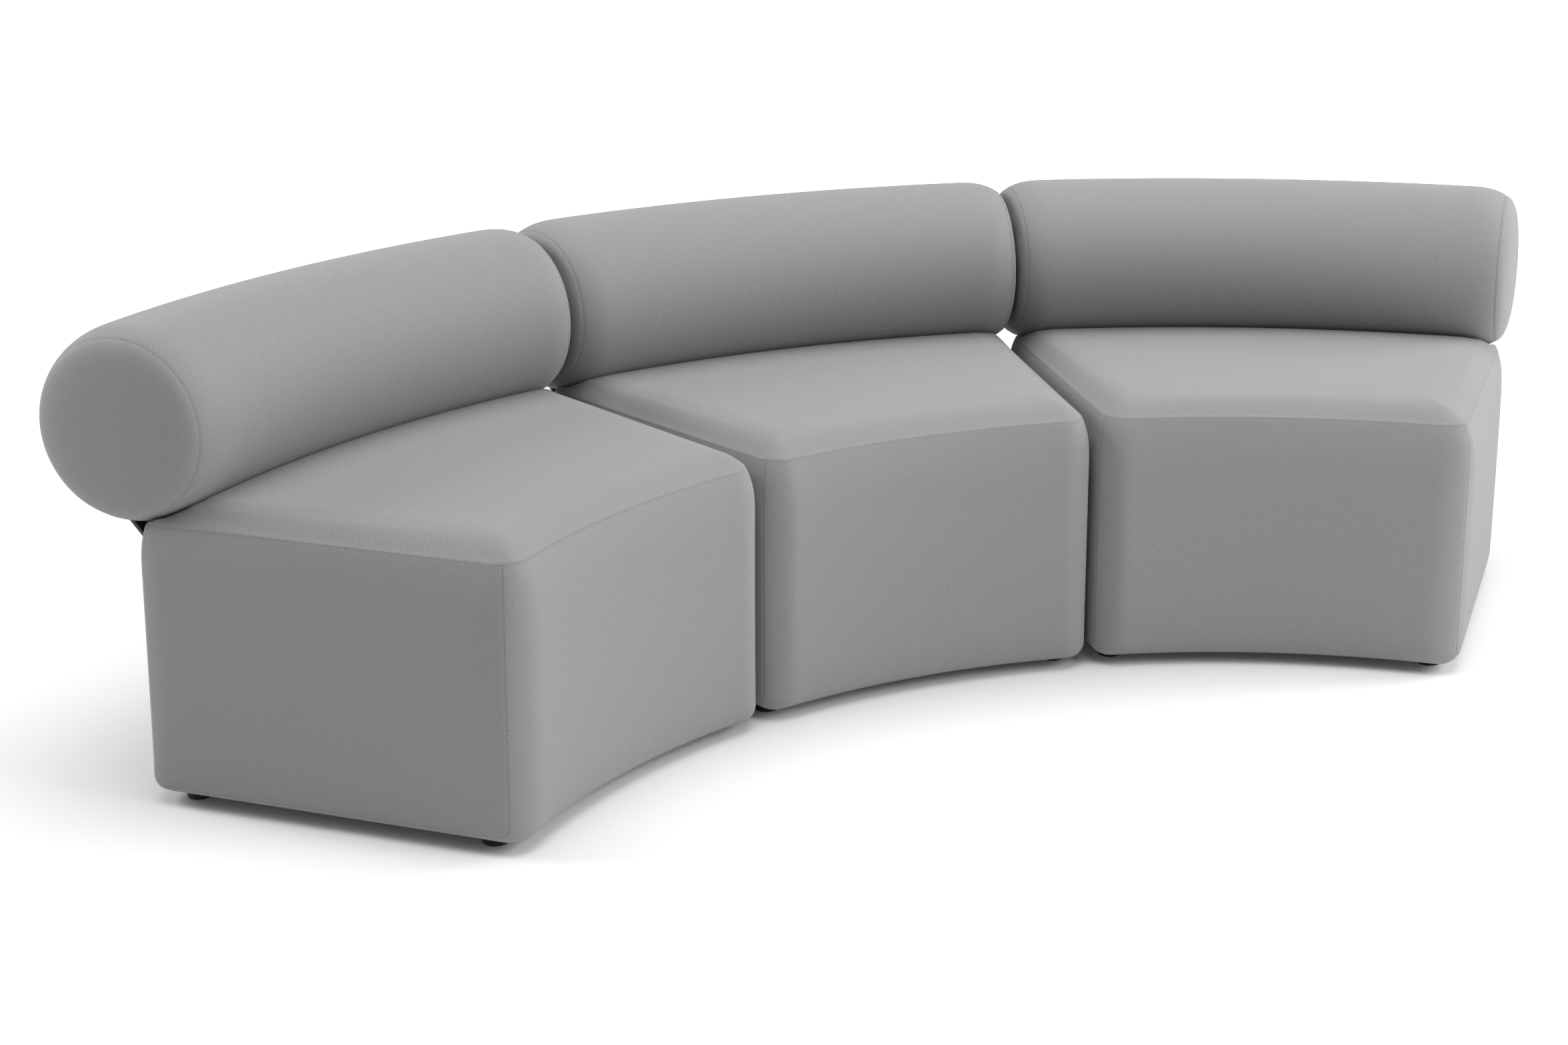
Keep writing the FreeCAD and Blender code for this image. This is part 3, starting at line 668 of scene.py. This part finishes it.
def seen_rays(tree):
    """1 for the rays that show a background: from the camera, mirrored or through glass; 0 for lighting."""
    rays = add(tree, "LightPath").outputs
    seen = rays["Is Camera Ray"]
    for kind in ("Is Glossy Ray", "Is Transmission Ray"):
        seen = add(tree, "Math", {0: seen, 1: rays[kind]}, operation="MAXIMUM").outputs["Value"]
    return seen


bpy.ops.object.select_all(action="DESELECT")
bpy.ops.mesh.primitive_plane_add(size=60, location=(0, 0, 0))
floor = bpy.context.active_object
floor.name = "floor"
paper, tree, shader = start_material("white seamless floor", Roughness=0.9, Specular_IOR_Level=0.1)
shader.inputs["Base Color"].default_value = linear("#f4f4f4")
shader.inputs["Emission Color"].default_value = linear("#ffffff")
away = add(tree, "VectorMath", {0: add(tree, "TexCoord").outputs["Object"]}, operation="LENGTH")
glow = add(tree, "MapRange", {"Value": away.outputs["Value"], "From Min": NEAR, "From Max": FAR,
                              "To Min": NEAR_GLOW, "To Max": 1.0}, interpolation_type="SMOOTHSTEP")
shown = add(tree, "Math", {0: glow.outputs["Result"], 1: seen_rays(tree)}, operation="MULTIPLY")
tree.links.new(shown.outputs["Value"], shader.inputs["Emission Strength"])
floor.data.materials.append(paper)

world = bpy.data.worlds.new("white studio")
bpy.context.scene.world = world
world.use_nodes = True
tree = world.node_tree
strength = add(tree, "MapRange", {"Value": seen_rays(tree), "To Min": ROOM_LIGHT, "To Max": 1.0})
backdrop = tree.nodes["Background"]
backdrop.inputs["Color"].default_value = (1, 1, 1, 1)
tree.links.new(strength.outputs["Result"], backdrop.inputs["Strength"])


def soft_light(name, place, target, size, power):
    """A square area light at a place, facing a target."""
    lamp = bpy.data.lights.new(name, "AREA")
    lamp.size = size
    lamp.energy = power
    item = bpy.data.objects.new(name, lamp)
    bpy.context.scene.collection.objects.link(item)
    item.location = place
    item.rotation_euler = (Vector(target) - Vector(place)).to_track_quat("-Z", "Y").to_euler()


SOFA_MIDDLE = (0, 0, 0.3)
soft_light("overhead", (0, -0.3, 9.0), (0, -0.3, 0), 8.0, 628)
soft_light("front right", (3.2, -3.9, 3.1), SOFA_MIDDLE, 2.5, 116)
soft_light("right", (5.2, -0.9, 2.6), SOFA_MIDDLE, 2.5, 138)
soft_light("back left", (-4.6, 2.6, 3.0), SOFA_MIDDLE, 2.5, 158)

# Camera: at the photograph's viewing angle, fitted to its frame of 2352 by 1568 pixels. The lens is shifted
# down a little, which keeps uprights near vertical, and the camera is tilted for the rest.
FRAME_WIDTH, FOCAL_PIXELS = 2352, 3950
TILT, HEADING = 14.42, -25.47
lens = bpy.data.cameras.new("camera")
lens.sensor_width = 36
lens.lens = FOCAL_PIXELS / FRAME_WIDTH * lens.sensor_width
lens.shift_y = -0.10
camera = bpy.data.objects.new("camera", lens)
bpy.context.scene.collection.objects.link(camera)
camera.location = (-1.907, -3.704, 1.556)
camera.rotation_euler = (math.radians(90 - TILT), 0, math.radians(HEADING))
bpy.context.scene.camera = camera
bpy.context.scene.view_settings.view_transform = "Standard"
